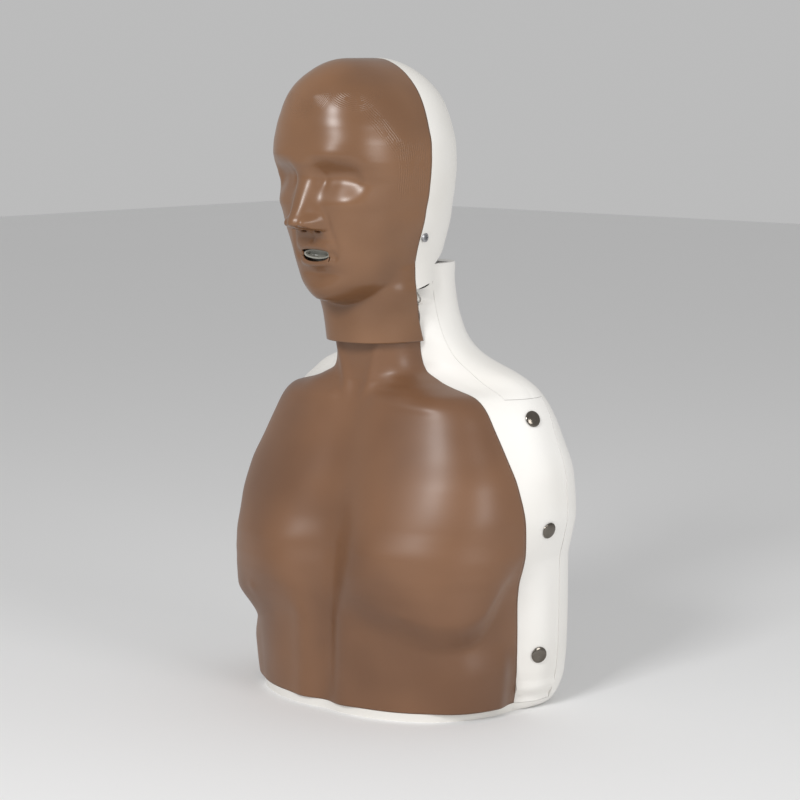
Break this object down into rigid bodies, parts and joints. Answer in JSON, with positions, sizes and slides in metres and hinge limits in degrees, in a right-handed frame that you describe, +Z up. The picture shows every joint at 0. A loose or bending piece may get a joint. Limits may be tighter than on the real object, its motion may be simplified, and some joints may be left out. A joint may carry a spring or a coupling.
{
  "type": "resuscitation training mannequin",
  "caption": "Head and chest training mannequin with a tilting head, an open mouth, a sprung chest that can be pressed in and a press-studded front cover on a back shell.",
  "frame": {"origin": "on the base plane, in the middle of the width, on the parting plane between front cover and back shell", "axes": "+Z up along the body, the face looks along -Y, +X is the mannequin's left"},
  "size_m": [0.3376, 0.2387, 0.595],
  "materials": {
    "white_shell": "satin, warm white",
    "brown_skin": "soft vinyl, satin",
    "brown_face": "soft vinyl, glossy",
    "stud_chrome": "polished",
    "steel": "zinc plated",
    "spring_steel": "oiled",
    "grey_plastic": "moulded",
    "black_plastic": "moulded",
    "blue_plastic": "moulded",
    "clear_film": "thin film",
    "smoke_plastic": "translucent grey"
  },
  "bodies": {
    "torso": {"back_shell": "white_shell", "chest_cover": "white_shell", "chest_skin": "brown_skin", "stud_caps": "stud_chrome", "stud_sockets": "steel", "stud_posts": "steel", "guide_tube": "black_plastic", "guide_screws": "steel", "stop_ring": "black_plastic", "click_leaf": "spring_steel", "click_leaf_screw": "steel", "neck_bracket": "steel", "neck_bracket_screws": "steel", "neck_axle": "steel", "axle_clips": "spring_steel", "compression_spring": "spring_steel"},
    "chest_plate": {"rib_plate": "grey_plastic", "piston": "blue_plastic", "piston_screws": "steel", "lung_bag": "clear_film", "lung_bag_port": "grey_plastic"},
    "head": {"face_mask": "brown_face", "head_shell": "white_shell", "head_frame": "grey_plastic", "side_screws": "steel", "mouthpiece": "smoke_plastic", "friction_washers": "black_plastic", "airway_hose": "smoke_plastic"}
  },
  "joints": [
    {"name": "head_tilt", "type": "hinge", "parent": "torso", "child": "head", "pos_m": [0, -0.012, 0.412], "axis": [-1, 0, 0], "range_deg": [0, 25], "deforming": ["airway_hose"]},
    {"name": "chest_compression", "type": "slide", "parent": "torso", "child": "chest_plate", "axis": [0, 1, 0], "range_m": [0, 0.05], "stiffness_N_per_m": 8000, "deforming": ["compression_spring", "chest_skin", "airway_hose"]}
  ]
}
